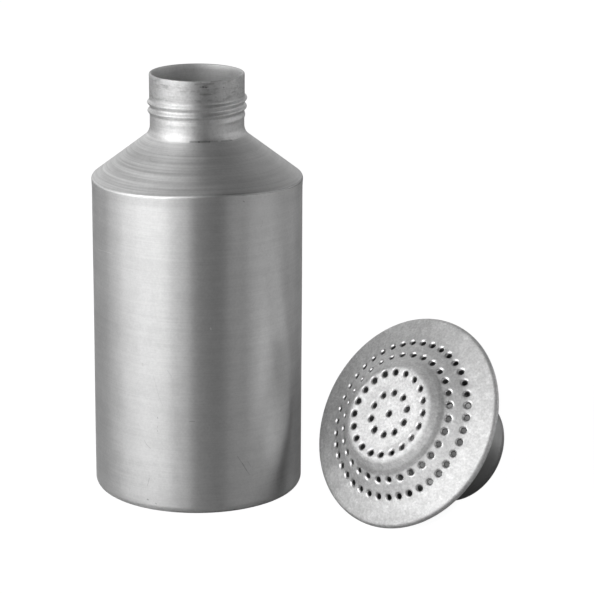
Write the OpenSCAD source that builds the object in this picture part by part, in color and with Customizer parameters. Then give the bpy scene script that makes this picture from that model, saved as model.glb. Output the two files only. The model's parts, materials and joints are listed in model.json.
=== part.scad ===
// Aluminium shaker bottle with a screw-on perforated sprinkler head.
// The head is off the bottle and lies beside it, on its rim and on the end of its tube.
// Millimetres, +Z up. The origin is the middle of the bottle's base, on the surface it stands on.

/* [Bottle] */
// Outside diameter of the body
body_d = 80; // [60:1:120]
// Height of the body, up to the corner of the shoulder
body_h = 122.2; // [80:0.1:200]
// How far the body widens, on the radius, just under the shoulder
shoulder_swell = 0.2; // [0:0.05:0.6]
// Length of body over which it widens
swell_length = 4; // [2:0.5:10]
// Slope of the shoulder, from level
shoulder_slope = 37.4; // [25:0.1:50]
// Bend radius at the corner of the shoulder
shoulder_bend = 1.4; // [1:0.1:5]
// Thickness of the bottle's wall
wall = 0.9; // [0.6:0.05:1.5]
// Bend radius at the bottom edge
base_bend = 3.2; // [2:0.1:5]
// Width of the flat ring that the bottle stands on
foot_width = 3.6; // [2:0.1:8]
// Rise of the pressed-in base above that ring
base_rise = 1.4; // [0.6:0.1:4]

/* [Neck] */
// Outside diameter of the plain top of the neck
neck_d = 36.1; // [28:0.1:50]
// Outside diameter of the lower neck, where the screw thread is rolled
neck_root_d = 35.8; // [27:0.1:49]
// Height of the plain top of the neck
neck_plain_h = 9.5; // [6:0.5:20]
// Height of the lower neck, from the shoulder to the plain top
neck_root_h = 13.1; // [10:0.1:20]
// Bend radius where the neck meets the shoulder
neck_bend = 4; // [1:0.1:5]

/* [Head] */
// Diameter of the head over its rolled rim
rim_d = 81.9; // [70:0.1:110]
// Thickness of the perforated face
face_t = 0.6; // [0.4:0.05:1]
// Radius of the roll around the rim, over the outside
rim_roll = 1.5; // [1.2:0.1:2.5]
// Diameter of the raised boss, between the corners of its crown
boss_d = 36.4; // [34:0.1:38]
// Height of the boss's crown above the middle of the rim
boss_h = 12.6; // [10:0.1:16]
// How far the middle of the boss is dished below its crown
dish_depth = 0.8; // [0.3:0.1:2]
// Width of the sloping part of that dish
dish_width = 5.2; // [4:0.1:8]
// Drop of the boss's wall from its crown to its foot
boss_drop = 4.2; // [3.6:0.1:5]
// Slope of the upper part of the boss's wall, from level
boss_slope = 38; // [30:0.5:45]
// Diameter at which the boss's wall steepens
boss_break_d = 42.8; // [40:0.1:44]
// Slope of the lower part of the boss's wall, from level
boss_foot_slope = 50; // [46:0.5:60]
// Bend radius of the boss's crown
crown_bend = 4; // [2:0.1:5]
// Bend radius at the foot of the boss's wall
boss_foot_bend = 2; // [1:0.1:4]
// Slope of the face outside the boss
skirt_slope = 30.8; // [28:0.1:34]
// Slope of the face near the rim
brim_slope = 13.6; // [8:0.1:18]
// How far the rolled rim reaches back in over the funnel
hem_width = 3; // [2:0.1:5]

/* [Holes] */
// Diameter of the punched holes
hole_d = 2.2; // [1:0.1:3]
// Pitch circle diameters of the four rings of holes
hole_ring_d = [16.5, 31.9, 49, 60.4];
// Number of holes in each ring
hole_count = [10, 20, 30, 40];
// Turn of each ring about the head's axis, in degrees
hole_phase = [26.6, 14.1, 0.6, 6.2];

/* [Funnel] */
// Thickness of the spun funnel
funnel_t = 0.8; // [0.5:0.05:1.2]
// Outside diameter of the funnel's tube
tube_d = 42.4; // [36:0.1:56]
// Length of the head from the middle of its rim to the end of the tube
tube_reach = 34.3; // [28:0.1:50]
// Depth of the cone between the rim and the tube
cone_depth = 15; // [10:0.5:20]
// Width of the flat flange that the face is rolled over
flange_width = 3.6; // [3:0.1:6]

/* [Thread ring] */
// Gap between the thread ring's bore and the neck's plain top, on the radius
thread_gap = 0.25; // [0.1:0.05:0.5]
// Length of the thread ring
ring_length = 15; // [8:0.5:18]
// How far the thread ring sits inside the end of the tube
ring_inset = 0.5; // [0:0.1:2]
// Chamfer at both ends of the thread ring's bore
ring_chamfer = 0.6; // [0.2:0.1:1]

/* [Head lying beside the bottle] */
// Gap between the bottle and the head, measured between their two circles
lay_gap = 5.7; // [3:0.1:40]
// Direction from the bottle to the head, in degrees about +Z from +X
lay_bearing = -25.5; // [-80:0.5:80]
// Direction that the face looks in, in degrees about +Z from -Y
lay_turn = -47.4; // [-180:0.1:180]

/* [Hidden] */
$fn = 96;

// Pieces in the arc of each bend
bend_steps = 8;

// Bend radii that follow from how the sheets are drawn and spun
foot_bend = 1.5;
swell_bend = 6;
step_bend = 0.3;
dish_bend = 8;
break_bend = 5;
knee_bend = 16;
flange_bend = 3;
cone_bend = 4;

// Bottle
body_r = body_d / 2;
swell_r = body_r + shoulder_swell;
neck_r = neck_d / 2;
neck_root_r = neck_root_d / 2;
shoulder_h = (swell_r - neck_root_r) * tan(shoulder_slope);
neck_base_z = body_h + shoulder_h;
neck_step_z = neck_base_z + neck_root_h;
neck_step_h = 0.6;
mouth_z = neck_step_z + neck_plain_h;

// Face
rim_r = rim_d / 2;
boss_r = boss_d / 2;
hem_flat = 0.05;
hem_top = hem_flat + rim_roll * tan((90 - brim_slope) / 2);
boss_break_r = boss_break_d / 2;
boss_break_h = boss_h - (boss_break_r - boss_r) * tan(boss_slope);
boss_foot_h = boss_h - boss_drop;
boss_foot_r = boss_break_r + (boss_break_h - boss_foot_h) / tan(boss_foot_slope);
knee_r = (boss_foot_h + boss_foot_r * tan(skirt_slope) - hem_top - rim_r * tan(brim_slope))
    / (tan(skirt_slope) - tan(brim_slope));
knee_h = hem_top + (rim_r - knee_r) * tan(brim_slope);

// Funnel and thread ring
tube_r = tube_d / 2;
flange_r = rim_r - rim_roll;
flange_z = face_t - rim_roll;
ring_r = tube_r - funnel_t;
ring_bore_r = neck_r + thread_gap;

// Lying head: its axis rises by lay_rise when the rolled rim and the tube's end touch the ground
lay_rise = atan2(flange_r - tube_r, tube_reach)
    + asin(rim_roll / norm([flange_r - tube_r, tube_reach]));
lay_height = flange_r * cos(lay_rise) + rim_roll;
lay_distance = body_r + rim_r + lay_gap;

// Corners of each sheet's outer face, from its middle outwards: [radius, height, bend radius]
bottle_path = [
    [0, base_rise, 0],
    [body_r - base_bend - foot_width - base_rise, base_rise, foot_bend],
    [body_r - base_bend - foot_width, 0, foot_bend],
    [body_r, 0, base_bend],
    [body_r, body_h - swell_length, swell_bend],
    [swell_r, body_h, shoulder_bend],
    [neck_root_r, neck_base_z, neck_bend],
    [neck_root_r, neck_step_z - neck_step_h, step_bend],
    [neck_r, neck_step_z, step_bend],
    [neck_r, mouth_z, 0]
];

face_path = [
    [0, boss_h - dish_depth, 0],
    [boss_r - dish_width, boss_h - dish_depth, dish_bend],
    [boss_r, boss_h, crown_bend],
    [boss_break_r, boss_break_h, break_bend],
    [boss_foot_r, boss_foot_h, boss_foot_bend],
    [knee_r, knee_h, knee_bend],
    [rim_r, hem_top, rim_roll],
    [rim_r, -rim_roll, rim_roll],
    [rim_r - hem_width, -rim_roll, 0]
];

funnel_path = [
    [flange_r, flange_z, 0],
    [flange_r - flange_width, flange_z, flange_bend],
    [tube_r, -cone_depth, cone_bend],
    [tube_r, -tube_reach, 0]
];

// Direction of a step from a to b, its left-hand normal, and the turn from one direction to the next
function heading(a, b) = (b - a) / norm(b - a);
function left(u) = [-u[1], u[0]];
function turn(u, v) = atan2(u[0] * v[1] - u[1] * v[0], u * v);
function spin(p, a) = [p[0] * cos(a) - p[1] * sin(a), p[0] * sin(a) + p[1] * cos(a)];
function spot(path, i) = [path[i][0], path[i][1]];

// Corner i of a path moved to the left by t, at the same distance from both of its sides
function moved(path, i, t) =
    let (
        last = len(path) - 1,
        u = heading(spot(path, max(i - 1, 0)), spot(path, max(i, 1))),
        v = heading(spot(path, min(i, last - 1)), spot(path, min(i + 1, last)))
    )
    spot(path, i) + t * (left(u) + left(v)) / (1 + u * v);

// Points of the arc that rounds corner i of a path moved to the left by t
function bend(path, i, t) =
    let (
        u = heading(spot(path, i - 1), spot(path, i)),
        v = heading(spot(path, i), spot(path, i + 1)),
        a = turn(u, v),
        r = path[i][2] - sign(a) * t,
        inward = left(u) * sign(a) * r,
        centre = moved(path, i, t) - u * r * tan(abs(a) / 2) + inward
    )
    [for (k = [0:bend_steps]) centre - spin(inward, a * k / bend_steps)];

// One face of a bent sheet, from the first end of its path to the last
function sheet_face(path, t) = concat(
    [moved(path, 0, t)],
    [for (i = [1:len(path) - 2]) each bend(path, i, t)],
    [moved(path, len(path) - 1, t)]
);

function reversed(points) = [for (i = [len(points) - 1:-1:0]) points[i]];

// Height and slope of a path at radius r, on the straight side that starts at corner i
function side_height(path, i, r) =
    path[i][1] + (r - path[i][0]) * (path[i + 1][1] - path[i][1]) / (path[i + 1][0] - path[i][0]);
function side_slope(path, i) =
    atan2(path[i + 1][1] - path[i][1], path[i + 1][0] - path[i][0]);

// A sheet of thickness t, bent along a path and spun about the axis
// t is measured to the left of the path, or to its right where it is negative
module spun_sheet(path, t) {
    rotate_extrude()
    polygon(concat(sheet_face(path, 0), reversed(sheet_face(path, t))));
}

// The head's own frame has +Z out of its face, and its origin in the middle of the rim
module lay_head() {
    rotate([0, 0, lay_bearing])
    translate([lay_distance, 0, lay_height])
    rotate([0, 0, lay_turn - lay_bearing])
    rotate([90 - lay_rise, 0, 0])
    children();
}

// One punched hole, square to the side of the face that starts at corner i
module punched_hole(i, r, angle) {
    rotate([0, 0, angle])
    translate([r, 0, side_height(face_path, i, r) - face_t / 2])
    rotate([0, -side_slope(face_path, i), 0])
    cylinder(h = 4 * face_t, d = hole_d, center = true, $fn = 24);
}

// The side of the face that each ring of holes is in
hole_side = [0, 1, 4, 4];

module bottle() {
    color("silver")
    spun_sheet(bottle_path, wall);
}

module face_plate() {
    color("gainsboro")
    lay_head()
    difference() {
        spun_sheet(face_path, -face_t);
        punched_hole(0, 0, 0);
        for (ring = [0:len(hole_count) - 1])
            for (k = [0:hole_count[ring] - 1])
                punched_hole(
                    hole_side[ring],
                    hole_ring_d[ring] / 2,
                    hole_phase[ring] + 360 * k / hole_count[ring]
                );
    }
}

module funnel() {
    color("darkgray")
    lay_head()
    spun_sheet(funnel_path, -funnel_t);
}

module thread_ring() {
    color("lightgray")
    lay_head()
    translate([0, 0, ring_inset - tube_reach])
    difference() {
        cylinder(h = ring_length, r = ring_r);
        translate([0, 0, -1])
        cylinder(h = ring_length + 2, r = ring_bore_r);
        translate([0, 0, -0.01])
        cylinder(h = ring_chamfer, r1 = ring_bore_r + ring_chamfer, r2 = ring_bore_r);
        translate([0, 0, ring_length - ring_chamfer + 0.01])
        cylinder(h = ring_chamfer, r1 = ring_bore_r, r2 = ring_bore_r + ring_chamfer);
    }
}

bottle();
face_plate();
funnel();
thread_ring();
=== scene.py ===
"""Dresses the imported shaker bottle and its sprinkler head: formed sheet, bare aluminium, studio light.

Lengths are in metres. The bottle's axis is +Z. The head is modelled in its own frame, with +Z out of
its face and its origin in the middle of the rim, and its meshes are then turned to lie as the CAD does.
"""
import json
import math
import random

import bmesh
import bpy
import numpy as np
from mathutils import Matrix, Vector, noise


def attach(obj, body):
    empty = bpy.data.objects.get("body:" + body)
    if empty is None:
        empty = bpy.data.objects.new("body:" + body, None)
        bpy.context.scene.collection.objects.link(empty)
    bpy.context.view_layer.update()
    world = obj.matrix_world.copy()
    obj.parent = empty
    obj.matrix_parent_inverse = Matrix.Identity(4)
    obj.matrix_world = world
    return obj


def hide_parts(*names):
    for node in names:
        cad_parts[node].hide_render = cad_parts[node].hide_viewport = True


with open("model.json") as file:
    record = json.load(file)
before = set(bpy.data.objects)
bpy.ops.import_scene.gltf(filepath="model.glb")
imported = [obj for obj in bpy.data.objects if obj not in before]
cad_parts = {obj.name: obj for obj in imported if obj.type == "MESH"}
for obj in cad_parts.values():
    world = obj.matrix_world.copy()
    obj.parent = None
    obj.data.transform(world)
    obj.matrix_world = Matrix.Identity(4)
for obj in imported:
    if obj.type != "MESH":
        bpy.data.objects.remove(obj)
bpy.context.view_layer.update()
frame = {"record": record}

# ---------------- sizes

# Bottle
BODY_R = 0.0400
BODY_H = 0.1222
SWELL_R = 0.0402
SWELL_LENGTH = 0.0040
SWELL_BEND = 0.0060
SHOULDER_SLOPE = math.radians(37.4)
SHOULDER_BEND = 0.0014
WALL = 0.0009
BASE_RISE = 0.0014
BASE_BEND = 0.0032
FOOT_WIDTH = 0.0036
FOOT_BEND = 0.0015
NECK_R = 0.01805
NECK_PLAIN_H = 0.0095
NECK_ROOT_R = 0.0179
NECK_ROOT_H = 0.0131
NECK_BEND = 0.0058
NECK_STEP_H = 0.0012
NECK_STEP_BEND = 0.0006

# Heights that follow: of the shoulder, the neck's start, its plain top's start and the mouth
SHOULDER_H = (SWELL_R - NECK_ROOT_R) * math.tan(SHOULDER_SLOPE)
NECK_Z = BODY_H + SHOULDER_H
PLAIN_Z = NECK_Z + NECK_ROOT_H
MOUTH_Z = PLAIN_Z + NECK_PLAIN_H

# Screw thread, a bead that is rolled out of the neck. Its top end is THREAD_TOP_TURN turns round from +X
# and THREAD_RISE above PLAIN_Z, and it ends THREAD_TURNS below that. It fades in over heights above
# NECK_Z and out over heights above PLAIN_Z
PITCH = 0.003175
THREAD_TOP_TURN = 1.15
THREAD_TURNS = 2.7
THREAD_FADE_IN = 0.12
THREAD_FADE_OUT = 1.35
THREAD_HEIGHT = 0.00095
THREAD_WIDTH = 0.0029
THREAD_RISE = 0.00045
THREAD_LOW_FADE = (0.0020, 0.0040)
THREAD_TOP_FADE = (0.0006, 0.0014)

# The shoulder's edge rides up a little CREASE_AZIMUTH to the right of the front, as on the real bottle
FRONT = math.radians(270)
CREASE_LIFT = 0.0018
CREASE_AZIMUTH = math.radians(12)
CREASE_SPREAD = math.radians(26)
CREASE_RUN = 0.020

# Spinning ridges on the shoulder, clearest towards RIDGE_ANGLE. They fade in over heights from BODY_H
# and out over heights from NECK_Z. Then the groove below the neck
RIDGE_SPACING = 0.0016
RIDGE_DEPTH = 0.00004
RIDGE_ANGLE = math.radians(-135)
RIDGE_LEAST = 0.35
RIDGE_SEED = (0.7, 5.3)
RIDGE_EDGE_FADE = (0.0006, 0.0020)
RIDGE_NECK_FADE = (-0.0040, -0.0010)
GROOVE_Z = 0.1389
GROOVE_DEPTH = 0.00006
GROOVE_WIDTH = 0.00028

# Slight unevenness of the bottle's sheet. A push towards the axis fades out inside CORE_R
UNEVEN_SIZE = 0.022
UNEVEN_STRETCH = 2.2
UNEVEN_DEPTH = 0.00018
UNEVEN_SEED = 3.0
CORE_R = 0.010

# Perforated face of the head
RIM_R = 0.04095
RIM_ROLL = 0.0015
RIM_RISE = 0.00005
HEM_WIDTH = 0.0030
FACE_T = 0.0006
BOSS_R = 0.0182
BOSS_H = 0.0126
BOSS_DROP = 0.0042
BOSS_SLOPE = math.radians(38)
BOSS_BREAK_R = 0.0214
BOSS_FOOT_SLOPE = math.radians(50)
BOSS_FOOT_BEND = 0.0020
DISH_DEPTH = 0.0008
DISH_WIDTH = 0.0052
DISH_BEND = 0.0080
CROWN_BEND = 0.0040
BREAK_BEND = 0.0050
SKIRT_SLOPE = math.radians(30.8)
BRIM_SLOPE = math.radians(13.6)
KNEE_BEND = 0.0160

# Funnel behind the face, and the threaded ring in its tube's end
FUNNEL_T = 0.0008
TUBE_R = 0.0212
TUBE_REACH = 0.0343
CONE_DEPTH = 0.0150
CONE_BEND = 0.0040
FLANGE_R = RIM_R - RIM_ROLL
FLANGE_Z = FACE_T - RIM_ROLL
FLANGE_WIDTH = 0.0036
FLANGE_BEND = 0.0030
RING_LENGTH = 0.0150
RING_INSET = 0.0005
RING_FIT = 0.00002
RING_BORE_R = 0.0183
RING_CHAMFER_R = 0.0006
RING_CHAMFER_H = 0.0005
CUT_DEPTH = 0.00075

# Punched holes: one in the middle and four rings round it, each turned by its phase in degrees. Their
# places and sizes vary a little. Each is made in a cell of sheet, CELL_HALF to each side of its ring
HOLE_R = 0.0011
RING_R = (0.00825, 0.01595, 0.0245, 0.0302)
RING_COUNT = (10, 20, 30, 40)
RING_PHASE = (26.6, 14.1, 0.6, 6.2)
CELL_HALF = 0.0022
HOLE_SHIFT = 0.00012
HOLE_SPREAD = 0.05
HOLE_SEED = 7

# Loops of points round a hole, from the sheet's front to its back: distance from the hole's edge,
# depth below the front face, share of the way to the cell's border, and the finish up to the next
# loop, where 0 is plain sheet, 1 burnished by the punch and 2 the dull bore, darkened by painted shade
HOLE_LOOPS = (
    (0, 0, 1.0, 0),
    (0.00085, 0, 0.35, 0),
    (0.00074, 0.00001, 0, 0),
    (0.00060, 0.00004, 0, 0),
    (0.00046, 0.00009, 0, 1),
    (0.00033, 0.00016, 0, 1),
    (0.00021, 0.00024, 0, 1),
    (0.00011, 0.00033, 0, 1),
    (0.00002, 0.00043, 0, 1),
    (-0.00006, 0.00056, 0, 2),
    (-0.00022, FACE_T + 0.00030, 0, 2),
    (-0.00014, FACE_T + 0.00036, 0, 2),
    (0.00022, FACE_T + 0.00022, 0, 0),
    (0.00060, FACE_T + 0.00004, 0, 0),
    (0.00085, FACE_T, 0.35, 0),
    (0, FACE_T, 1.0, 0),
)
HOLE_FINISH = tuple(loop[3] for loop in HOLE_LOOPS)

# Mesh density: points round the axis, the longest steps along a profile, and the steps in a bend, a lip
# and a cell's side. Plain bands of the face use one in BAND_STRIDE of its profile's points
TURN_STEPS = 240
TURN_STEP = 2 * math.pi / TURN_STEPS
TURNS = np.arange(TURN_STEPS) * TURN_STEP
SIDE_STEP = 0.0020
RIDGE_STEP = 0.0004
THREAD_STEP = 0.0002
FACE_STEP = 0.0002
BEND_STEPS = 12
FACE_BEND_STEPS = 24
LIP_STEPS = 6
CELL_SIDE_STEPS = 6
BAND_STRIDE = 4

# The thread's close steps reach this far below the groove and above the plain top's start
FINE_BELOW = 0.001
FINE_ABOVE = 0.004

# A length that counts as none, distances within which points are welded, and a UV map's name
TINY = 1e-6
WELD = 1e-7
FACE_WELD = 2e-6
TURNING_MAP = "turning"


# ---------------- profiles

def heading(a, b):
    """Unit direction from a to b."""
    return (b - a) / np.linalg.norm(b - a)


def left(u):
    """u turned a quarter to the left."""
    return np.array([-u[1], u[0]])


def spun(p, angle):
    """p turned by an angle."""
    c, s = math.cos(angle), math.sin(angle)
    return np.array([p[0] * c - p[1] * s, p[0] * s + p[1] * c])


def bent_path(corners, bend_steps=BEND_STEPS):
    """Points along straight sides with an arc at each corner: corners are (radius, height, bend)."""
    spots = [np.array(c[:2], float) for c in corners]
    points = [spots[0]]
    for i in range(1, len(corners) - 1):
        u = heading(spots[i - 1], spots[i])
        v = heading(spots[i], spots[i + 1])
        turn = math.atan2(u[0] * v[1] - u[1] * v[0], u @ v)
        inward = left(u) * math.copysign(corners[i][2], turn)
        centre = spots[i] - u * corners[i][2] * math.tan(abs(turn) / 2) + inward
        for k in range(bend_steps + 1):
            points.append(centre - spun(inward, turn * k / bend_steps))
    points.append(spots[-1])
    return np.array(points)


def subdivided(points, step):
    """The same line with no step longer than the one given."""
    out = [points[0]]
    for a, b in zip(points[:-1], points[1:]):
        count = max(1, math.ceil(np.linalg.norm(b - a) / step))
        out.extend(a + (b - a) * (k + 1) / count for k in range(count))
    return np.array(out)


def normals(points):
    """Left-hand unit normal at each point of a line."""
    along = np.gradient(points, axis=0)
    along /= np.linalg.norm(along, axis=1)[:, None]
    return np.stack([-along[:, 1], along[:, 0]], axis=1)


def round_end(outer, inner):
    """Points on the half circle from outer to inner, without those two."""
    middle = (outer + inner) / 2
    arm = outer - middle
    return np.array([middle + spun(arm, math.pi * k / LIP_STEPS) for k in range(1, LIP_STEPS)])


def sheet_loop(outer, thickness):
    """Outline of a sheet to the left of the line: out on one face, round a lip and back on the other."""
    inner = outer + normals(outer) * thickness
    return np.concatenate([outer, round_end(outer[-1], inner[-1]), inner[::-1]])


# ---------------- meshes

def placed(name, data):
    """A new object in the scene."""
    made = bpy.data.objects.new(name, data)
    bpy.context.scene.collection.objects.link(made)
    return made


def new_object(name, vertices, faces):
    """A smooth-shaded mesh object."""
    mesh = bpy.data.meshes.new(name)
    mesh.from_pydata([tuple(v) for v in vertices], [], faces)
    mesh.polygons.foreach_set("use_smooth", [True] * len(mesh.polygons))
    mesh.update()
    return placed(name, mesh)


def merged(piece, distance=WELD):
    """Welds the points that lie together, and turns every face outwards."""
    cells = bmesh.new()
    cells.from_mesh(piece.data)
    bmesh.ops.remove_doubles(cells, verts=cells.verts, dist=distance)
    bmesh.ops.recalc_face_normals(cells, faces=cells.faces)
    cells.to_mesh(piece.data)
    cells.free()
    return piece


def lathe(name, loop, shape=None, closed=True):
    """Spins an outline about Z. shape moves the grid of points, which is rows by turns by 3.

    closed joins the outline's end to its start. TURNING_MAP gives the metal's shine its direction.
    """
    grid = np.zeros((len(loop), TURN_STEPS, 3))
    grid[:, :, 0] = loop[:, 0, None] * np.cos(TURNS)
    grid[:, :, 1] = loop[:, 0, None] * np.sin(TURNS)
    grid[:, :, 2] = loop[:, 1, None]
    if shape is not None:
        grid = shape(grid)
    rows = len(loop) if closed else len(loop) - 1
    faces = []
    spots = []
    for i in range(rows):
        here = i * TURN_STEPS
        there = (i + 1) % len(loop) * TURN_STEPS
        for j in range(TURN_STEPS):
            nxt = (j + 1) % TURN_STEPS
            faces.append((here + j, here + nxt, there + nxt, there + j))
            spots.extend([(j, i), (j + 1, i), (j + 1, i + 1), (j, i + 1)])
    piece = new_object(name, grid.reshape(-1, 3), faces)
    layer = piece.data.uv_layers.new(name=TURNING_MAP)
    shares = np.array(spots, np.float32) / [TURN_STEPS, rows]
    layer.uv.foreach_set("vector", shares.astype(np.float32).ravel())
    return merged(piece)


def pulled_in(grid, depth):
    """The grid with each point moved towards the axis by its depth, or less inside CORE_R."""
    radius = np.hypot(grid[:, :, 0], grid[:, :, 1])
    grid[:, :, :2] *= (1 - depth / np.maximum(radius, CORE_R))[:, :, None]
    return grid


def smoothstep(x, low, high):
    """0 below low, 1 above high, smooth between."""
    t = np.clip((x - low) / (high - low), 0, 1)
    return t * t * (3 - 2 * t)


def rising(height, base, fade):
    """0 to 1 between two heights, given from base."""
    return smoothstep(height, base + fade[0], base + fade[1])


# ---------------- bottle

def bottle_corners():
    """Outer face of the bottle, from the middle of its base to its mouth."""
    foot_r = BODY_R - BASE_BEND - FOOT_WIDTH
    return [
        (0, BASE_RISE, 0),
        (foot_r - BASE_RISE, BASE_RISE, FOOT_BEND),
        (foot_r, 0, FOOT_BEND),
        (BODY_R, 0, BASE_BEND),
        (BODY_R, BODY_H - SWELL_LENGTH, SWELL_BEND),
        (SWELL_R, BODY_H, SHOULDER_BEND),
        (NECK_ROOT_R, NECK_Z, NECK_BEND),
        (NECK_ROOT_R, PLAIN_Z - NECK_STEP_H, NECK_STEP_BEND),
        (NECK_R, PLAIN_Z, NECK_STEP_BEND),
        (NECK_R, MOUTH_Z - WALL / 2, 0),
    ]


def bottle_line():
    """The bottle's outer face, in close steps over the shoulder and closer ones over the thread."""
    outer = subdivided(bent_path(bottle_corners()), SIDE_STEP)
    line = [outer[0]]
    for a, b in zip(outer[:-1], outer[1:]):
        if a[1] > BODY_H and b[1] < PLAIN_Z + FINE_ABOVE:
            step = THREAD_STEP if a[1] > GROOVE_Z - FINE_BELOW else RIDGE_STEP
            line.extend(subdivided([a, b], step)[1:])
        else:
            line.append(b)
    return np.array(line)


def thread_lift(height, angle, top):
    """How far a rolled right-hand thread stands out at a height and angle, as a share of its own height."""
    lift = np.zeros(np.broadcast(height, angle).shape)
    lowest = math.floor(THREAD_TOP_TURN - THREAD_TURNS) - 1
    highest = math.ceil(THREAD_TOP_TURN)
    for turn in range(lowest, highest + 1):
        along = THREAD_TOP_TURN - (turn + angle / (2 * math.pi))
        crest = top - along * PITCH
        strength = smoothstep(along, 0, THREAD_FADE_IN)
        strength = strength * (1 - smoothstep(along, THREAD_TURNS - THREAD_FADE_OUT, THREAD_TURNS))
        inside = (along > 0) & (along < THREAD_TURNS)
        across = np.clip((height - crest) / (THREAD_WIDTH / 2), -1, 1)
        bead = 0.5 + 0.5 * np.cos(math.pi * across)
        lift = np.maximum(lift, bead * strength * inside)
    return lift


def threaded(grid):
    """Rolls the thread out of the neck."""
    radius = np.hypot(grid[:, :, 0], grid[:, :, 1])
    height = grid[:, :, 2]
    on_neck = rising(height, NECK_Z, THREAD_LOW_FADE) * (1 - rising(height, PLAIN_Z, THREAD_TOP_FADE))
    lift = THREAD_HEIGHT * thread_lift(height, TURNS[None, :], PLAIN_Z + THREAD_RISE) * on_neck
    factor = np.where(radius > TINY, (radius + lift) / np.maximum(radius, TINY), 1)
    grid[:, :, :2] *= factor[:, :, None]
    return grid


def ridged(grid):
    """Raises the faint rings that spinning left on the shoulder, and sinks the groove below the neck."""
    height = grid[:, :, 2].copy()
    slant = height[:, 0] / math.sin(SHOULDER_SLOPE)
    rings = np.array([noise.noise(Vector((s / RIDGE_SPACING, *RIDGE_SEED))) for s in slant])
    on_shoulder = rising(height, BODY_H, RIDGE_EDGE_FADE) * (1 - rising(height, NECK_Z, RIDGE_NECK_FADE))
    toward = np.clip(np.cos(TURNS - RIDGE_ANGLE), 0, 1) ** 2
    strength = RIDGE_LEAST + (1 - RIDGE_LEAST) * toward
    grid[:, :, 2] += RIDGE_DEPTH * rings[:, None] * on_shoulder * strength
    return pulled_in(grid, GROOVE_DEPTH * np.exp(-((grid[:, :, 2] - GROOVE_Z) / GROOVE_WIDTH) ** 2))


def lifted(grid):
    """Raises the shoulder's edge at the front. The wall below stretches and the shoulder flattens."""
    height = grid[:, :, 2]
    rise = smoothstep(height, BODY_H - CREASE_RUN, BODY_H)
    fall = np.clip((height - BODY_H) / SHOULDER_H, 0, 1)
    from_crest = TURNS - (FRONT + CREASE_AZIMUTH)
    from_crest = np.angle(np.exp(1j * from_crest))
    crest = np.exp(-(from_crest / CREASE_SPREAD) ** 2 / 2)
    grid[:, :, 2] = height + CREASE_LIFT * rise * (1 - fall) * crest
    return grid


def uneven(grid):
    """Pushes the sheet in by small smooth amounts towards its axis."""
    scale = np.array([UNEVEN_SIZE, UNEVEN_SIZE, UNEVEN_STRETCH * UNEVEN_SIZE])
    spots = grid.reshape(-1, 3) / scale + [UNEVEN_SEED, 0, 0]
    push = np.array([noise.noise(Vector(spot)) for spot in spots]).reshape(grid.shape[:2])
    return pulled_in(grid, UNEVEN_DEPTH * (0.5 + 0.5 * push))


def bottle_shape(grid):
    """Gives the spun sheet its thread, ridges, raised edge and unevenness."""
    return uneven(lifted(ridged(threaded(grid))))


# The bend between wall and shoulder: the rise of its normals, and how far from BODY_H it reaches
EDGE_SLOPES = (0.06, 0.66)
EDGE_REACH = 0.003

BOTTLE_FINISHES = ("bottle_metal", "shoulder_metal", "neck_metal", "inside_metal", "edge_metal")


def bottle_finish(centre, normal):
    """Name of a face's finish, from the face's middle and its normal."""
    outward = normal.x * centre.x + normal.y * centre.y
    if centre.z < BODY_H / 2:
        inside = centre.z > BASE_RISE + WALL / 2 and outward < TINY
    else:
        inside = outward < -TINY
    if inside:
        return "inside_metal"
    if centre.z > GROOVE_Z:
        return "neck_metal"
    if centre.z < BODY_H - EDGE_REACH or normal.z < EDGE_SLOPES[0]:
        return "bottle_metal"
    if centre.z < BODY_H + EDGE_REACH and normal.z < EDGE_SLOPES[1]:
        return "edge_metal"
    return "shoulder_metal"


def make_bottle():
    """The bottle's one sheet, with a finish for each of its stretches."""
    piece = lathe("bottle_sheet", sheet_loop(bottle_line(), WALL), bottle_shape, closed=False)
    for face in piece.data.polygons:
        face.material_index = BOTTLE_FINISHES.index(bottle_finish(face.center, face.normal))
    return piece


# ---------------- head

def face_corners():
    """Outer face of the perforated plate, from its middle over the rim to the end of the hem."""
    break_z = BOSS_H - (BOSS_BREAK_R - BOSS_R) * math.tan(BOSS_SLOPE)
    foot_z = BOSS_H - BOSS_DROP
    foot_r = BOSS_BREAK_R + (break_z - foot_z) / math.tan(BOSS_FOOT_SLOPE)
    rim_z = RIM_RISE + RIM_ROLL * math.tan((math.pi / 2 - BRIM_SLOPE) / 2)
    skirt = math.tan(SKIRT_SLOPE)
    brim = math.tan(BRIM_SLOPE)
    knee_r = (foot_z + foot_r * skirt - rim_z - RIM_R * brim) / (skirt - brim)
    return [
        (0, BOSS_H - DISH_DEPTH, 0),
        (BOSS_R - DISH_WIDTH, BOSS_H - DISH_DEPTH, DISH_BEND),
        (BOSS_R, BOSS_H, CROWN_BEND),
        (BOSS_BREAK_R, break_z, BREAK_BEND),
        (foot_r, foot_z, BOSS_FOOT_BEND),
        (knee_r, rim_z + (RIM_R - knee_r) * brim, KNEE_BEND),
        (RIM_R, rim_z, RIM_ROLL),
        (RIM_R, -RIM_ROLL, RIM_ROLL),
        (RIM_R - HEM_WIDTH, -RIM_ROLL, 0),
    ]


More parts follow.
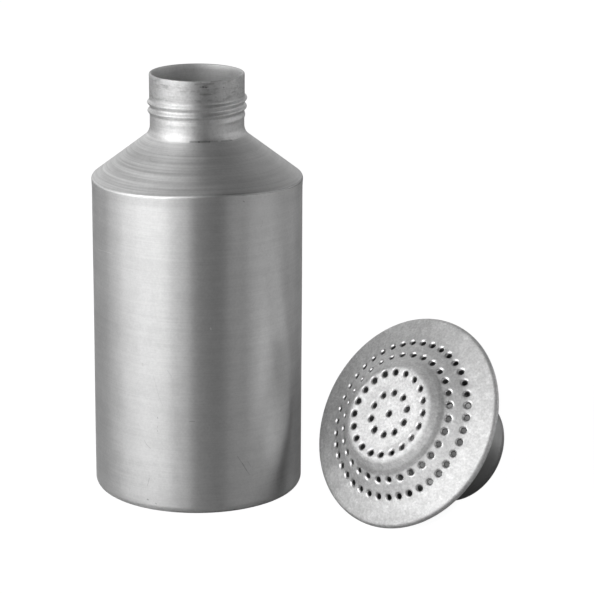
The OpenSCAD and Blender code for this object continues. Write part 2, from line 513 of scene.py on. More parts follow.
class FaceSurface:
    """The plate's outer face as points and normals by distance along its profile."""

    def __init__(self):
        """Measures the profile's points and their distances from the middle."""
        self.line = subdivided(bent_path(face_corners(), FACE_BEND_STEPS), FACE_STEP)
        steps = np.linalg.norm(np.diff(self.line, axis=0), axis=1)
        self.along = np.concatenate([[0], np.cumsum(steps)])
        self.normal = normals(self.line)

    def reach(self, radius):
        """Distance along the profile to a radius on the open face."""
        upper = self.line[:, 1] > 0
        return float(np.interp(radius, self.line[upper, 0], self.along[upper]))

    def radius(self, along):
        """Radius at distances along the profile."""
        return np.interp(along, self.along, self.line[:, 0])

    def point(self, along, angle, depth):
        """Points at distances along the profile, angles about the axis and depths into the sheet."""
        r = self.radius(along) - np.interp(along, self.along, self.normal[:, 0]) * depth
        z = np.interp(along, self.along, self.line[:, 1])
        z = z - np.interp(along, self.along, self.normal[:, 1]) * depth
        x, y, z = np.broadcast_arrays(r * np.cos(angle), r * np.sin(angle), z)
        return np.stack([x, y, z], axis=-1)


def cell_border(arc_steps):
    """Points round a cell's border, as -1 to 1 along the profile and -1 to 1 round the axis."""
    arc = np.linspace(-1, 1, arc_steps + 1)
    side = np.linspace(-1, 1, CELL_SIDE_STEPS + 1)
    return np.concatenate([
        np.stack([np.full(arc_steps, -1.0), arc[:-1]], axis=1),
        np.stack([side[:-1], np.full(CELL_SIDE_STEPS, 1.0)], axis=1),
        np.stack([np.full(arc_steps, 1.0), arc[:0:-1]], axis=1),
        np.stack([side[:0:-1], np.full(CELL_SIDE_STEPS, -1.0)], axis=1),
    ])


class Plate:
    """The perforated plate's mesh while it is built. finish holds each face's index of finish."""

    def __init__(self):
        """Starts with no points on a new surface."""
        self.surface = FaceSurface()
        self.vertices = []
        self.faces = []
        self.finish = []

    def strip(self, rows, finish=None):
        """Adds closed rings of points, given as rows by columns by 3, with the faces between them."""
        count, wide = rows.shape[:2]
        first = len(self.vertices)
        self.vertices.extend(rows.reshape(-1, 3))
        for i in range(count - 1):
            for j in range(wide):
                here = first + i * wide
                nxt = (j + 1) % wide
                self.faces.append((here + j, here + nxt, here + wide + nxt, here + wide + j))
                self.finish.append(finish[i] if finish else 0)

    def middle_hole(self):
        """The hole in the middle, with the round patch of sheet about it."""
        rows = []
        for out, depth, share, _ in HOLE_LOOPS:
            along = (HOLE_R + out) * (1 - share) + CELL_HALF * share
            rows.append(self.surface.point(np.full(TURN_STEPS, along), TURNS, depth))
        self.strip(np.array(rows), HOLE_FINISH)

    def hole_cell(self, along, angle, count, chance):
        """One cell of a ring of count cells: a patch of sheet with a punched hole in it."""
        radius = float(self.surface.radius(along))
        edge = cell_border(TURN_STEPS // count) * [CELL_HALF, math.pi / count * radius]
        toward = edge / np.linalg.norm(edge, axis=1)[:, None]
        shift = np.array([chance.uniform(-1, 1), chance.uniform(-1, 1)]) * HOLE_SHIFT
        size = HOLE_R * (1 + chance.uniform(-1, 1) * HOLE_SPREAD)
        rows = []
        for out, depth, share, _ in HOLE_LOOPS:
            circle = toward * (size + out) + shift
            flat = circle * (1 - share) + edge * share
            rows.append(self.surface.point(along + flat[:, 0], angle + flat[:, 1] / radius, depth))
        self.strip(np.array(rows), HOLE_FINISH)

    def plain_band(self, start, end, start_turn, end_turn):
        """The sheet between two rings, in line with their points. Gives the turn at its end."""
        along = self.surface.along
        inside = along[(along > start + TINY) & (along < end - TINY)]
        stations = np.concatenate([[start], inside[::BAND_STRIDE], [end]])
        slip = (end_turn - start_turn + TURN_STEP / 2) % TURN_STEP - TURN_STEP / 2
        turns = start_turn + slip * (stations - start) / (end - start)
        angles = TURNS + turns[:, None]
        for depth in (0, FACE_T):
            self.strip(self.surface.point(stations[:, None], angles, depth))
        return start_turn + slip


def make_face():
    """The perforated plate: rings of punched cells with plain bands between them, and the rolled rim."""
    plate = Plate()
    chance = random.Random(HOLE_SEED)
    plate.middle_hole()
    start = CELL_HALF
    turn = 0.0
    for radius, count, phase in zip(RING_R, RING_COUNT, RING_PHASE):
        along = plate.surface.reach(radius)
        first_border = math.radians(phase) - math.pi / count
        turn = plate.plain_band(start, along - CELL_HALF, turn, first_border)
        for k in range(count):
            angle = math.radians(phase) + 2 * math.pi * k / count
            plate.hole_cell(along, angle, count, chance)
        start = along + CELL_HALF
    end = plate.surface.along[-1]
    plate.plain_band(start, end, turn, turn)
    plate.strip(plate.surface.point(end, TURNS[None, :] + turn, np.array([[0], [FACE_T]])))
    piece = new_object("face_sheet", plate.vertices, plate.faces)
    piece.data.polygons.foreach_set("material_index", plate.finish)
    return merged(piece, FACE_WELD)


def make_funnel():
    """The head's spun back: a flange, a cone and a straight tube."""
    corners = [
        (FLANGE_R, FLANGE_Z, 0),
        (FLANGE_R - FLANGE_WIDTH, FLANGE_Z, FLANGE_BEND),
        (TUBE_R, -CONE_DEPTH, CONE_BEND),
        (TUBE_R, -TUBE_REACH + FUNNEL_T / 2, 0),
    ]
    outer = subdivided(bent_path(corners), SIDE_STEP)
    return lathe("funnel_sheet", sheet_loop(outer, -FUNNEL_T))


def make_thread_ring():
    """The turned ring inside the tube's end, with a thread cut into its bore."""
    outer_r = TUBE_R - FUNNEL_T - RING_FIT
    chamfer_r = RING_BORE_R + RING_CHAMFER_R
    low = RING_INSET - TUBE_REACH
    high = low + RING_LENGTH
    bore_ends = [(RING_BORE_R, high - RING_CHAMFER_H), (RING_BORE_R, low + RING_CHAMFER_H)]
    loop = np.concatenate([
        [[outer_r, low], [outer_r, high], [chamfer_r, high]],
        subdivided(np.array(bore_ends), THREAD_STEP),
        [[chamfer_r, low]],
    ])

    def cut_thread(grid):
        """Cuts the groove into the points of the bore."""
        radius = np.hypot(grid[:, :, 0], grid[:, :, 1])
        along = (grid[:, :, 2] - low) / PITCH - TURNS / (2 * math.pi)
        groove = 0.5 + 0.5 * np.cos(2 * math.pi * along)
        on_bore = radius < RING_BORE_R + RING_CHAMFER_R / 2
        factor = np.where(on_bore, 1 + CUT_DEPTH * groove / RING_BORE_R, 1)
        grid[:, :, :2] *= factor[:, :, None]
        return grid

    return lathe("ring_turned", loop, cut_thread)


def head_matrix():
    """Places the head's own frame as it lies, from the CAD's socket mount."""
    mounts = {m["name"]: m for m in frame["record"]["mounts"]}
    socket = mounts["head_socket"]
    out = -Vector(socket["axis"]).normalized()
    to_rim = TUBE_REACH - RING_INSET - RING_LENGTH / 2
    origin = Vector(socket["pos_m"]) + out * to_rim
    level = Vector((-out.y, out.x, 0)).normalized()
    up = out.cross(level)
    turn = Matrix((level, up, out)).transposed().to_4x4()
    return Matrix.Translation(origin) @ turn


# ---------------- materials

class Graph:
    """Adds shader nodes. An input is given a constant or another node's output."""

    def __init__(self, owner):
        """Starts on the nodes that a new material or world has."""
        owner.use_nodes = True
        self.tree = owner.node_tree
        self.shader = self.tree.nodes.get("Principled BSDF")

    def set(self, socket, value):
        """Gives an input its constant or links it."""
        if isinstance(value, bpy.types.NodeSocket):
            self.tree.links.new(value, socket)
        else:
            socket.default_value = value

    def node(self, kind, output=0, settings=None, **inputs):
        """One output of a new node, whose inputs are given by name with _ for a space."""
        made = self.tree.nodes.new("ShaderNode" + kind)
        for key, value in (settings or {}).items():
            setattr(made, key, value)
        for key, value in inputs.items():
            self.set(made.inputs[key.replace("_", " ")], value)
        return made.outputs[output]

    def operation(self, kind, operation, values, output=0):
        """One output of a new node that works on its inputs in order."""
        made = self.tree.nodes.new("ShaderNode" + kind)
        made.operation = operation
        for socket, value in zip(made.inputs, values):
            self.set(socket, value)
        return made.outputs[output]

    def math(self, operation, *values):
        """A sum, product or the like of numbers."""
        return self.operation("Math", operation, values)

    def vector(self, operation, *values, output="Vector"):
        """An operation on vectors. output is Value where it gives a number."""
        return self.operation("VectorMath", operation, values, output)

    def split(self, vector):
        """The X, Y and Z of a vector."""
        made = self.tree.nodes.new("ShaderNodeSeparateXYZ")
        self.set(made.inputs[0], vector)
        return made.outputs

    def ramp(self, value, low, high, to_low=0.0, to_high=1.0):
        """value from low to high, smoothly mapped to to_low to to_high and held outside."""
        return self.node(
            "MapRange", settings={"interpolation_type": "SMOOTHSTEP"}, Value=value,
            From_Min=low, From_Max=high, To_Min=to_low, To_Max=to_high,
        )

    def total(self, *weighted):
        """Sum of (socket, weight) pairs."""
        result = 0.0
        for socket, weight in weighted:
            result = self.math("ADD", self.math("MULTIPLY", socket, weight), result)
        return result


class Place:
    """Where a point is on a turned piece, in the piece's own frame."""

    def __init__(self, graph, on_head, slant):
        """slant is how much the turning lines' place across shifts with the radius."""
        self.graph = graph
        self.spot = graph.node("TexCoord", output="Object")
        if on_head:
            lying = head_matrix()
            self.spot = graph.node(
                "Mapping", settings={"vector_type": "TEXTURE"}, Vector=self.spot,
                Location=lying.to_translation(), Rotation=lying.to_euler(),
            )
        self.x, self.y, self.z = graph.split(self.spot)
        x_squared = graph.math("MULTIPLY", self.x, self.x)
        y_squared = graph.math("MULTIPLY", self.y, self.y)
        self.radius = graph.math("SQRT", graph.math("ADD", x_squared, y_squared))
        self.across = graph.math("ADD", self.z, graph.math("MULTIPLY", self.radius, slant))

    def facing(self, angle, cosines, least=0.0):
        """1 towards an angle about the axis, falling to least from the higher cosine to the lower."""
        toward = self.graph.total((self.x, math.cos(angle)), (self.y, math.sin(angle)))
        return self.graph.ramp(self.graph.math("DIVIDE", toward, self.radius), *cosines, least, 1.0)


# Strength of a noise's layers, each against the one before
NOISE_ROUGHNESS = 0.6


def streaks(graph, place, length, width, detail=2.0):
    """Noise drawn out along the turning lines, with streaks of a length and width in metres."""
    spot = graph.node(
        "CombineXYZ",
        X=graph.math("DIVIDE", place.x, length),
        Y=graph.math("DIVIDE", place.y, length),
        Z=graph.math("DIVIDE", place.across, width),
    )
    return graph.node("TexNoise", Vector=spot, Scale=1.0, Detail=detail, Roughness=NOISE_ROUGHNESS)


def blotches(graph, place, size, detail=3.0):
    """Noise with spots of a size in metres."""
    return graph.node(
        "TexNoise", Vector=place.spot, Scale=1 / size, Detail=detail, Roughness=NOISE_ROUGHNESS,
    )


# Scratches and pits: how far apart and how wide they are, in metres. The scratches are cut to patches,
# SCRATCH_PATCHES to a spacing and fewer with more rarity. PIT_SHARE of the places have a pit
SCRATCH_SPACING = 0.020
SCRATCH_WIDTH = 0.00005
SCRATCH_RARITY = 0.62
SCRATCH_FADE = 0.06
SCRATCH_PATCHES = 2.3
SCRATCH_DISTORTION = 0.6
PIT_SPACING = 0.006
PIT_SIZE = 0.0004
PIT_SHARE = 0.06


def scratches(graph, place):
    """Thin curved lines: the level lines of a noise, cut to short stretches by another."""
    line = graph.node(
        "TexNoise", Vector=place.spot, Scale=1 / SCRATCH_SPACING, Detail=1.0,
        Distortion=SCRATCH_DISTORTION,
    )
    away = graph.math("ABSOLUTE", graph.math("SUBTRACT", line, 0.5))
    thin = graph.ramp(away, 0.0, SCRATCH_WIDTH / SCRATCH_SPACING, 1.0, 0.0)
    scale = SCRATCH_PATCHES / SCRATCH_SPACING
    patch = graph.node("TexNoise", Vector=place.spot, Scale=scale, Detail=0.0)
    kept = graph.ramp(patch, SCRATCH_RARITY, SCRATCH_RARITY + SCRATCH_FADE)
    return graph.math("MULTIPLY", thin, kept)


def pits(graph, place):
    """A scatter of small specks."""
    cells = graph.tree.nodes.new("ShaderNodeTexVoronoi")
    graph.set(cells.inputs["Vector"], place.spot)
    cells.inputs["Scale"].default_value = 1 / PIT_SPACING
    draw = graph.node("SeparateColor", Color=cells.outputs["Color"])
    chosen = graph.math("LESS_THAN", draw, PIT_SHARE)
    dot = graph.ramp(cells.outputs["Distance"], 0.0, PIT_SIZE / PIT_SPACING, 1.0, 0.0)
    return graph.math("MULTIPLY", dot, chosen)


def stroke(graph, spot, start, end, half_width):
    """1 on the straight line between two points, falling to 0 at half_width from it."""
    along = end - start
    offset = graph.vector("SUBTRACT", spot, start)
    reached = graph.vector("DOT_PRODUCT", offset, along, output="Value")
    share = graph.node("MapRange", Value=reached, From_Min=0.0, From_Max=along.length_squared)
    nearest = graph.node("VectorMath", settings={"operation": "SCALE"}, Vector=along, Scale=share)
    away = graph.vector("DISTANCE", offset, nearest, output="Value")
    return graph.ramp(away, 0.0, half_width, 1.0, 0.0)


def on_bottle(azimuth, height):
    """The point on the bottle's outside at degrees to the right of its front and millimetres up."""
    line = bent_path(bottle_corners())
    side = line[np.argmax(line[:, 0] > BODY_R - BASE_BEND / 2):]
    radius = float(np.interp(height / 1000, side[:, 1], side[:, 0]))
    turn = math.radians(azimuth)
    return Vector((radius * math.sin(turn), -radius * math.cos(turn), height / 1000))


# Marks on the bottle, with painted shade and painted glints among them, a straight stroke each: its two
# ends, as degrees to the right of the front and millimetres up, then its half width in millimetres and
# how much it darkens. Below 0 it brightens
MARKS_AND_PAINTED_LIGHT = (
    # Specks and fine scratches on the wall
    (-68.9, 97.2, -61.0, 97.8, 0.20, -0.32),
    (-61.0, 97.8, -53.5, 98.1, 0.20, -0.32),
    (6.6, 73.7, 6.9, 73.1, 0.45, -0.43),
    (24.8, 121.0, 25.3, 120.8, 0.40, 0.58),
    (-31.4, 58.3, -31.2, 57.6, 0.60, 0.17),
    (-16.7, 56.9, -14.5, 54.7, 0.20, 0.41),
    (-25.3, 55.5, -23.6, 51.3, 0.18, 0.29),
    (-23.6, 51.3, -21.9, 46.8, 0.18, 0.35),
    (-21.9, 46.8, -19.1, 42.3, 0.18, 0.26),
    (-22.6, 38.1, -22.5, 37.8, 0.35, 0.41),
    (-22.7, 34.5, -22.6, 34.2, 0.30, 0.32),
    (-22.7, 32.9, -22.6, 32.6, 0.30, 0.32),
    (-4.9, 37.4, -2.2, 37.4, 0.25, 0.43),
    (-30.6, 28.2, -29.4, 26.7, 0.20, 0.26),
    (-29.4, 26.7, -27.0, 25.4, 0.20, 0.26),
    (-27.8, 13.4, -29.0, 10.4, 0.18, 0.41),
    (21.4, 22.5, 24.3, 19.4, 0.28, 0.32),
    (24.3, 19.4, 26.8, 16.4, 0.35, 0.41),
    (26.8, 16.4, 28.6, 14.5, 0.28, 0.32),
    (27.6, 19.8, 29.6, 17.6, 0.25, 0.26),
    (-29.1, 4.8, -28.7, 4.7, 0.45, 0.51),
    (-24.3, 3.7, -23.6, 3.6, 0.35, 0.36),
    # Stains on the neck's plain top
    (4.0, 159.8, 13.0, 159.7, 0.40, 0.32),
    (6.8, 159.9, 7.6, 159.9, 0.35, 0.45),
    (10.4, 159.5, 11.2, 159.5, 0.35, 0.45),
    (4.0, 157.1, 16.0, 156.9, 0.60, 0.25),
    (-48.0, 159.6, -42.0, 159.6, 0.50, 0.22),
    (33.0, 159.1, 33.6, 159.1, 0.35, 0.50),
    # Painted shade in the groove above the thread's top turn, between two of its strokes below
    (9.0, 151.4, 14.0, 151.6, 0.45, 0.45),
    # Painted shade in the groove above the thread's top turn
    (-24.0, 150.8, -12.0, 150.9, 0.30, 0.22),
    (-12.0, 150.9, -2.0, 151.0, 0.30, 0.28),
    (-2.0, 151.0, 9.0, 151.4, 0.32, 0.34),
    (14.0, 151.5, 28.0, 151.8, 0.30, 0.28),
    (28.0, 151.8, 44.0, 152.0, 0.30, 0.26),
    (44.0, 152.0, 60.0, 152.2, 0.30, 0.26),
    # Shade in the groove at the neck's foot
    (-8.0, 139.3, 2.0, 139.3, 0.55, 0.50),
    (2.0, 139.3, 14.0, 139.3, 0.55, 0.42),
    (14.0, 139.3, 24.0, 139.2, 0.50, 0.22),
    (29.0, 139.1, 43.0, 138.9, 0.55, 0.38),
    # A pale scratch on the shoulder
    (-13.5, 132.5, -15.6, 129.0, 0.40, -0.28),
    # Glint and shade on the mouth's lip
    (6.0, 161.6, 16.0, 161.6, 0.35, -0.60),
    (-2.0, 160.9, 20.0, 160.9, 0.45, 0.22),
    # Painted shade along the foot, where the bottle meets the floor, stronger to the right
    (-12.0, 0.9, 4.0, 0.9, 0.80, 0.18),
    (4.0, 0.9, 20.0, 0.9, 0.80, 0.32),
    (20.0, 0.9, 36.0, 0.9, 0.80, 0.38),
    (36.0, 0.9, 52.0, 0.9, 0.80, 0.42),
    (52.0, 0.9, 68.0, 0.9, 0.80, 0.40),
)

# How much handling and smudges darken the neck's plain top, and over what height that sets in
HANDLED_TONE = 0.10
SMUDGE_TONE = 0.22
HANDLED_FADE = 0.002

# Painted light on the face: a painted highlight makes its dish brightest, out to DISH_R, and painted
# shade makes its part below LOW_FACE_Y darkest
DISH_R = 0.0150
LOW_FACE_Y = -0.022

# The turning rings are painted into the tone as light and shade, strongest towards RIDGE_ANGLE: cosines
# from it over which that painted light and shade weakens, and what is left of it
RING_FADE = (0.4, 1.0)
RING_LEAST = 0.33

# Painted shade darkens the bend between wall and shoulder towards EDGE_ANGLE, on the bottle's right
EDGE_ANGLE = math.radians(-30)
EDGE_FADE = (0.60, 0.80)

# Lengths and widths of streaks along the turning lines, and sizes of blotches
FINE_STREAK = (0.020, 0.0004)
BROAD_STREAK = (0.035, 0.0022)
RING_STREAK = (0.060, 0.0018)
SMUDGE_STREAK = (0.004, 0.0013)
CLOUD_SIZE = 0.016
SPOT_SIZE = 0.0035
GRAIN_SIZE = 0.0009
FROST_SIZE = 0.0024

# What the tone is mixed from, as streaks and as blotches, and what the roughness is. Each range is the
# part of a mix or noise over which its effect grows
STREAK_MIX = (("fine", 0.50), ("broad", 0.50))
BLOTCH_MIX = (("cloud", 0.25), ("spots", 0.30), ("grain", 0.45))
DULL_MIX = (("cloud", 0.6), ("broad", 0.4))
TONE_RANGE = (0.36, 0.64)
DULL_RANGE = (0.35, 0.65)
SMUDGE_RANGE = (0.50, 0.68)
FROST_RANGE = (0.54, 0.62)

# How much pits darken, how deep they and the scratches are, and the turn of the shine across the lines
PIT_TONE = 0.45
PIT_DEPTH = 0.00003
SCRATCH_DEPTH = 0.00001
SHINE_TURN = 0.25

# What a finish has unless it says otherwise. Its tone varies by tone_spread, a share of it, and mottle is
# the share of blotches in that against streaks. scratch darkens it and frost brightens it. Painted shade
# darkens it by low_painted_shade on the face's low part and edge_painted_shade on the bend's right, and a
# painted highlight brightens it by boss_painted_highlight on the face's dish. ring_light_and_shade paints
# the rings' light and shade, and marks_and_painted_light holds strokes of real specks, scratches and
# stains and of painted shade and glints. handled adds roughness on the plain top of the neck and lets its
# dirt in. Depths are relief in metres
METAL = dict(
    on_head=False, slant=-1, marks_and_painted_light=(),
    tone=0.70, tone_spread=0.08, mottle=0.6, scratch=0.12,
    roughness=0.40, roughness_spread=0.03, anisotropy=0.88, handled=0.0,
    fine_depth=0.0000020, broad_depth=0.000004, ring_depth=0.0, grain_depth=0.0000050,
    ring_light_and_shade=0.0, frost=0.0, boss_painted_highlight=0.0, low_painted_shade=0.0, edge_painted_shade=0.0,
)
FINISHES = {
    "bottle_metal": dict(marks_and_painted_light=MARKS_AND_PAINTED_LIGHT),
    "shoulder_metal": dict(
        marks_and_painted_light=MARKS_AND_PAINTED_LIGHT, tone=0.65, tone_spread=0.07, roughness=0.49, anisotropy=0.40,
        fine_depth=0.000004, ring_depth=0.000030, ring_light_and_shade=1.0,
    ),
    # The bend between wall and shoulder, with painted shade towards the bottle's right
    "edge_metal": dict(marks_and_painted_light=MARKS_AND_PAINTED_LIGHT, roughness=0.45, anisotropy=0.60, edge_painted_shade=0.40),
    "neck_metal": dict(
        marks_and_painted_light=MARKS_AND_PAINTED_LIGHT, tone=0.67, tone_spread=0.15, roughness=0.47, anisotropy=0.70,
        grain_depth=0.000006, handled=0.07,
    ),
    "inside_metal": dict(
        tone=0.66, roughness=0.62, anisotropy=0.0, ring_depth=0.000010, ring_light_and_shade=0.5, scratch=0.0,
    ),
    "face_metal": dict(
        on_head=True, tone_spread=0.16, roughness=0.62, roughness_spread=0.05, anisotropy=0.0,
        fine_depth=0.0, broad_depth=0.000002, grain_depth=0.000032, mottle=0.85, frost=0.10,
        boss_painted_highlight=0.13, low_painted_shade=0.16,
    ),
    "punched_metal": dict(
        on_head=True, tone=0.80, tone_spread=0.10, roughness=0.34, roughness_spread=0.06, anisotropy=0.0,
        fine_depth=0.0, broad_depth=0.000002, grain_depth=0.000010, mottle=0.85,
    ),
    # The hole's bore, dull and dark with painted shade
    "bore_metal": dict(
        on_head=True, tone=0.30, tone_spread=0.10, roughness=0.60, anisotropy=0.0, fine_depth=0.0,
    ),
    # The funnel is given a low tone, partly painted shade for the dark floor and shadow that it reflects
    "funnel_metal": dict(
        on_head=True, slant=1, tone=0.35, roughness_spread=0.05, anisotropy=0.8,
        broad_depth=0.000005, grain_depth=0.0000012, mottle=0.3,
    ),
    "ring_metal": dict(
        on_head=True, slant=1, tone=0.60, tone_spread=0.05, roughness=0.34, roughness_spread=0.04,
        anisotropy=0.6, fine_depth=0.000001, grain_depth=0.000001, mottle=0.2,
    ),
}


def wear_of(graph, place):
    """The noises that a metal's tone, roughness and relief are mixed from, by name."""
    return {
        "fine": streaks(graph, place, *FINE_STREAK),
        "broad": streaks(graph, place, *BROAD_STREAK),
        "rings": streaks(graph, place, *RING_STREAK),
        "cloud": blotches(graph, place, CLOUD_SIZE),
        "spots": blotches(graph, place, SPOT_SIZE),
        "grain": blotches(graph, place, GRAIN_SIZE, detail=2.0),
        "frost": graph.ramp(blotches(graph, place, FROST_SIZE, detail=4.0), *FROST_RANGE),
        "scratch": scratches(graph, place),
        "pit": pits(graph, place),
        "handled": graph.ramp(place.z, PLAIN_Z, PLAIN_Z + HANDLED_FADE),
        "smudge": graph.ramp(streaks(graph, place, *SMUDGE_STREAK, detail=3.0), *SMUDGE_RANGE),
    }


def mix(wear, parts, share=1.0):
    """(socket, weight) pairs for a mix of wear, at a share of its strength."""
    return [(wear[name], weight * share) for name, weight in parts]


def darkening(graph, place, wear, finish):
    """The share of the clean tone that wear, drawn strokes and painted shade take away, less what painted
    highlights and frost give back.
    """
    wear_and_painted_light = [
        (wear["scratch"], finish["scratch"]), (wear["pit"], PIT_TONE), (wear["frost"], -finish["frost"]),
    ]
    # Painted light and shade of the turning rings, in the tone
    if finish["ring_light_and_shade"]:
        ring = graph.math("SUBTRACT", 0.5, wear["rings"])
        ring = graph.math("MULTIPLY", ring, place.facing(RIDGE_ANGLE, RING_FADE, RING_LEAST))
        wear_and_painted_light.append((ring, finish["ring_light_and_shade"]))
    if finish["handled"]:
        wear_and_painted_light.append((wear["handled"], HANDLED_TONE))
        wear_and_painted_light.append((graph.math("MULTIPLY", wear["smudge"], wear["handled"]), SMUDGE_TONE))
    # Painted highlight on the face's dish
    if finish["boss_painted_highlight"]:
        wear_and_painted_light.append((graph.ramp(place.radius, DISH_R, BOSS_R, 1.0, 0.0), -finish["boss_painted_highlight"]))
    # Painted shade on the face's lower part
    if finish["low_painted_shade"]:
        wear_and_painted_light.append((graph.ramp(place.y, LOW_FACE_Y, -RIM_R, 0.0, 1.0), finish["low_painted_shade"]))
    # Painted shade on the bend between wall and shoulder, towards the bottle's right
    if finish["edge_painted_shade"]:
        wear_and_painted_light.append((place.facing(EDGE_ANGLE, EDGE_FADE), finish["edge_painted_shade"]))
    # Strokes of real specks, scratches and stains, and of painted shade and painted glints
    for *ends, half_width, strength in finish["marks_and_painted_light"]:
        line = stroke(graph, place.spot, on_bottle(*ends[:2]), on_bottle(*ends[2:]), half_width / 1000)
        wear_and_painted_light.append((line, strength))
    return graph.total(*wear_and_painted_light)


def metal_tone(graph, place, wear, finish):
    """Base colour: the metal's grey, unevenly clouded, less what wear, drawn strokes and painted shade
    darken, with painted highlights added.
    """
    mottle = finish["mottle"]
    shade = graph.total(*mix(wear, STREAK_MIX, 1 - mottle), *mix(wear, BLOTCH_MIX, mottle))
    low = finish["tone"] * (1 - finish["tone_spread"])
    high = finish["tone"] * (1 + finish["tone_spread"])
    clean = graph.ramp(shade, *TONE_RANGE, low, high)
    left_over = graph.math("SUBTRACT", 1.0, darkening(graph, place, wear, finish))
    return graph.math("MULTIPLY", clean, left_over)


def metal_roughness(graph, wear, finish):
    """Roughness, which varies with cloudy oxide and broad streaks."""
    low = finish["roughness"] - finish["roughness_spread"]
    high = finish["roughness"] + finish["roughness_spread"]
    rough = graph.ramp(graph.total(*mix(wear, DULL_MIX)), *DULL_RANGE, low, high)
    if finish["handled"]:
        rough = graph.math("MULTIPLY_ADD", wear["handled"], finish["handled"], rough)
    return rough


def metal_relief(graph, wear, finish):
    """Normals of the turning lines, rings, grain, pits and scratches."""
    height = graph.total(
        (wear["fine"], finish["fine_depth"]), (wear["broad"], finish["broad_depth"]),
        (wear["rings"], finish["ring_depth"]), (wear["grain"], finish["grain_depth"]),
        (wear["pit"], -PIT_DEPTH), (wear["scratch"], -SCRATCH_DEPTH),
    )
    return graph.node("Bump", Height=height, Distance=1.0, Strength=1.0)


def bare_metal(name):
    """Bare aluminium in one of the finishes, whose shine is drawn out across its turning lines."""
    finish = {**METAL, **FINISHES[name]}
    material = bpy.data.materials.new(name)
    graph = Graph(material)
    place = Place(graph, finish["on_head"], finish["slant"])
    wear = wear_of(graph, place)
    inputs = graph.shader.inputs
    graph.set(inputs["Base Color"], metal_tone(graph, place, wear, finish))
    graph.set(inputs["Roughness"], metal_roughness(graph, wear, finish))
    graph.set(inputs["Normal"], metal_relief(graph, wear, finish))
    inputs["Metallic"].default_value = 1.0
    if finish["anisotropy"] > 0:
        turning = {"direction_type": "UV_MAP", "uv_map": TURNING_MAP}
        graph.set(inputs["Tangent"], graph.node("Tangent", settings=turning))
        inputs["Anisotropic"].default_value = finish["anisotropy"]
        inputs["Anisotropic Rotation"].default_value = SHINE_TURN
    return material


# ---------------- studio

# Camera: place, turn to the right and down, lean, lens and sensor in millimetres, and how far it sees
CAMERA_AT = (0, -0.96224, 0.34990)
CAMERA_PAN = 0.03953
CAMERA_TILT = 0.27895
CAMERA_ROLL = 0.0061
CAMERA_LENS = 157.92
CAMERA_SENSOR = 36
CAMERA_REACH = 20


def make_camera():
    """The camera, at the photograph's view."""
    data = bpy.data.cameras.new("camera")
    data.lens = CAMERA_LENS
    data.sensor_width = CAMERA_SENSOR
    data.clip_end = CAMERA_REACH
    camera = placed("camera", data)
    forward = Vector((
        math.sin(CAMERA_PAN) * math.cos(CAMERA_TILT),
        math.cos(CAMERA_PAN) * math.cos(CAMERA_TILT),
        -math.sin(CAMERA_TILT),
    ))
    level = forward.cross(Vector((0, 0, 1))).normalized()
    upright = level.cross(forward)
    right = level * math.cos(CAMERA_ROLL) + upright * math.sin(CAMERA_ROLL)
    up = upright * math.cos(CAMERA_ROLL) - level * math.sin(CAMERA_ROLL)
    turn = Matrix((right, up, -forward)).transposed().to_4x4()
    camera.matrix_world = Matrix.Translation(CAMERA_AT) @ turn
    bpy.context.scene.camera = camera


# Softboxes round the object, in a low, a middle and a high ring: degrees to the right of the camera's
# side, degrees up, width and height in metres, and how bright each looks, where 1 is white
SOFTBOXES = (
    (-150, 8, 0.98, 0.36, 0.80),
    (-120, 8, 0.49, 0.36, 1.10),
    (-100, 5, 0.49, 0.40, 1.80),
    (-80, 5, 0.49, 0.40, 3.00),
    (-50, 5, 0.98, 0.40, 3.60),
    (-20, 5, 0.49, 0.40, 1.70),
    (40, 8, 0.49, 0.36, 0.95),
    (80, 8, 1.47, 0.36, 1.34),
    (120, 8, 0.49, 0.36, 1.05),
    (160, 8, 1.47, 0.36, 0.40),
    (-150, 31, 0.98, 0.68, 0.36),
    (-120, 31, 0.49, 0.68, 0.15),
    (-100, 31, 0.49, 0.68, 0.90),
    (-80, 31, 0.49, 0.68, 1.85),
    (-50, 31, 0.98, 0.68, 2.25),
    (-20, 31, 0.49, 0.68, 1.00),
    (0, 31, 0.49, 0.68, 0.20),
    (90, 31, 0.98, 0.68, 0.36),
    (180, 31, 0.49, 0.68, 0.55),
    (-120, 62, 1.00, 0.70, 0.26),
    (-60, 62, 1.00, 0.70, 0.44),
)
# How far they are from the point they face
SOFTBOX_RANGE = 1.4
SOFTBOX_AIM = Vector((0.03, 0, 0.08))

# The world's light on the object. The camera sees it white, and glossy rays see this much more of it
# where they leave towards +Y, fading in over a range of their Y
WORLD_LEVEL = 0.10
WORLD_GLOSSY = 0.24
WORLD_FAR = (0.3, 0.7)

# The floor: its colour, and a white glow, with the shares of it that camera rays and glossy rays see
FLOOR_HALF = 3
FLOOR_COLOR = 0.40
FLOOR_ROUGHNESS = 0.9
FLOOR_GLOW = 1.25
FLOOR_CAMERA = 0.8
FLOOR_GLOSSY = 0.02

# A soft oval on the floor: middle, turn, half length and half width, the shares of them between which it
# fades, and how dark it is. SHADE is the head's shadow behind it, which takes the floor's glow away
SHADE_AT = (0.1012, 0.0456, 0)
SHADE_TURN = math.radians(77.8)
SHADE_SIZE = (0.068, 0.0132, 1)
SHADE_FADE = (0.45, 1.60)
SHADE_DEPTH = 0.88

# DARK is a painted shadow on the floor beyond the head, in the floor's own colour, which shows in the
# lower right of the bottle's wall as a dark reflection
DARK_AT = (0.100, 0.060, 0)
DARK_TURN = 0
DARK_SIZE = (0.075, 0.080, 1)
DARK_FADE = (0.75, 1.40)
DARK_DEPTH = 0.85


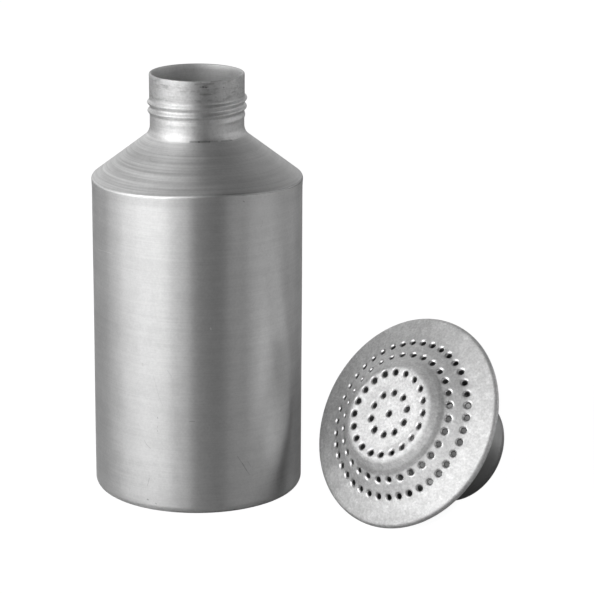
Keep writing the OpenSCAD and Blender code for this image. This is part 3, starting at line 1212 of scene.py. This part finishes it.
def make_softbox(azimuth, elevation, width, height, level):
    """One area lamp of SOFTBOXES, which the camera doesn't see."""
    name = f"softbox_{azimuth}_{elevation}"
    data = bpy.data.lights.new(name, "AREA")
    data.shape = "RECTANGLE"
    data.size = width
    data.size_y = height
    data.energy = math.pi * width * height * level
    lamp = placed(name, data)
    lamp.visible_camera = False
    turn = math.radians(azimuth)
    rise = math.radians(elevation)
    away = Vector((math.sin(turn) * math.cos(rise), -math.cos(turn) * math.cos(rise), math.sin(rise)))
    lamp.location = SOFTBOX_AIM + away * SOFTBOX_RANGE
    lamp.rotation_euler = away.to_track_quat("Z", "Y").to_euler()


def ray_share(graph, camera, glossy):
    """camera for camera rays, glossy for reflected rays and 0 for all others."""
    rays = graph.tree.nodes.new("ShaderNodeLightPath").outputs
    return graph.total((rays["Is Camera Ray"], camera), (rays["Is Glossy Ray"], glossy))


def make_world():
    """Dim all round, white to the camera, and part of that white to reflections of the far side."""
    world = bpy.data.worlds.new("studio")
    bpy.context.scene.world = world
    graph = Graph(world)
    _, y, _ = graph.split(graph.node("TexCoord", output="Generated"))
    far = graph.ramp(y, *WORLD_FAR, 0.0, WORLD_GLOSSY)
    level = graph.math("ADD", ray_share(graph, 1 - WORLD_LEVEL, far), WORLD_LEVEL)
    background = graph.tree.nodes["Background"]
    graph.set(background.inputs["Strength"], level)
    background.inputs["Color"].default_value = (1, 1, 1, 1)


def oval(graph, middle, turn, size, fade):
    """1 inside a soft oval on the floor and 0 outside it."""
    spot = graph.node(
        "Mapping", settings={"vector_type": "TEXTURE"}, Vector=graph.node("TexCoord", output="Object"),
        Location=middle, Rotation=(0, 0, turn), Scale=size,
    )
    return graph.ramp(graph.vector("LENGTH", spot, output="Value"), *fade, 1.0, 0.0)


def floor_material():
    """Pale and matt, and lit up white for the camera apart from the head's shade."""
    material = bpy.data.materials.new("floor")
    graph = Graph(material)
    # A painted shadow beyond the head darkens the floor's colour
    dark = oval(graph, DARK_AT, DARK_TURN, DARK_SIZE, DARK_FADE)
    color = graph.math("MULTIPLY_ADD", dark, -FLOOR_COLOR * DARK_DEPTH, FLOOR_COLOR)
    graph.set(graph.shader.inputs["Base Color"], color)
    graph.shader.inputs["Roughness"].default_value = FLOOR_ROUGHNESS
    graph.shader.inputs["Specular IOR Level"].default_value = 0
    shade = oval(graph, SHADE_AT, SHADE_TURN, SHADE_SIZE, SHADE_FADE)
    lit = graph.math("MULTIPLY_ADD", shade, -FLOOR_CAMERA * SHADE_DEPTH, FLOOR_CAMERA)
    both = graph.tree.nodes.new("ShaderNodeMixShader")
    graph.set(both.inputs["Fac"], ray_share(graph, lit, FLOOR_GLOSSY))
    graph.set(both.inputs[1], graph.shader.outputs[0])
    graph.set(both.inputs[2], graph.node("Emission", Strength=FLOOR_GLOW))
    graph.set(graph.tree.nodes["Material Output"].inputs["Surface"], both.outputs[0])
    return material


def make_floor():
    """A square floor at the height of the bottle's base."""
    mesh = bpy.data.meshes.new("floor")
    signs = ((-1, -1), (1, -1), (1, 1), (-1, 1))
    mesh.from_pydata([(x * FLOOR_HALF, y * FLOOR_HALF, 0) for x, y in signs], [], [(0, 1, 2, 3)])
    mesh.materials.append(floor_material())
    floor = placed("floor", mesh)


def make_studio():
    """World, floor and lamps."""
    bpy.context.scene.view_settings.view_transform = "Standard"
    make_world()
    make_floor()
    for setting in SOFTBOXES:
        make_softbox(*setting)


# ---------------- assembly

make_camera()
make_studio()

# Each piece's maker, the body it rides on, the node it stands for, and its finishes
PIECES = (
    (make_bottle, "bottle", "bottle", BOTTLE_FINISHES),
    (make_face, "head", "face_plate", ("face_metal", "punched_metal", "bore_metal")),
    (make_funnel, "head", "funnel", ("funnel_metal",)),
    (make_thread_ring, "head", "thread_ring", ("ring_metal",)),
)
for make, body, node, finishes in PIECES:
    piece = make()
    if body == "head":
        piece.data.transform(head_matrix())
    for name in finishes:
        piece.data.materials.append(bare_metal(name))
    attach(piece, body)
    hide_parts(node)
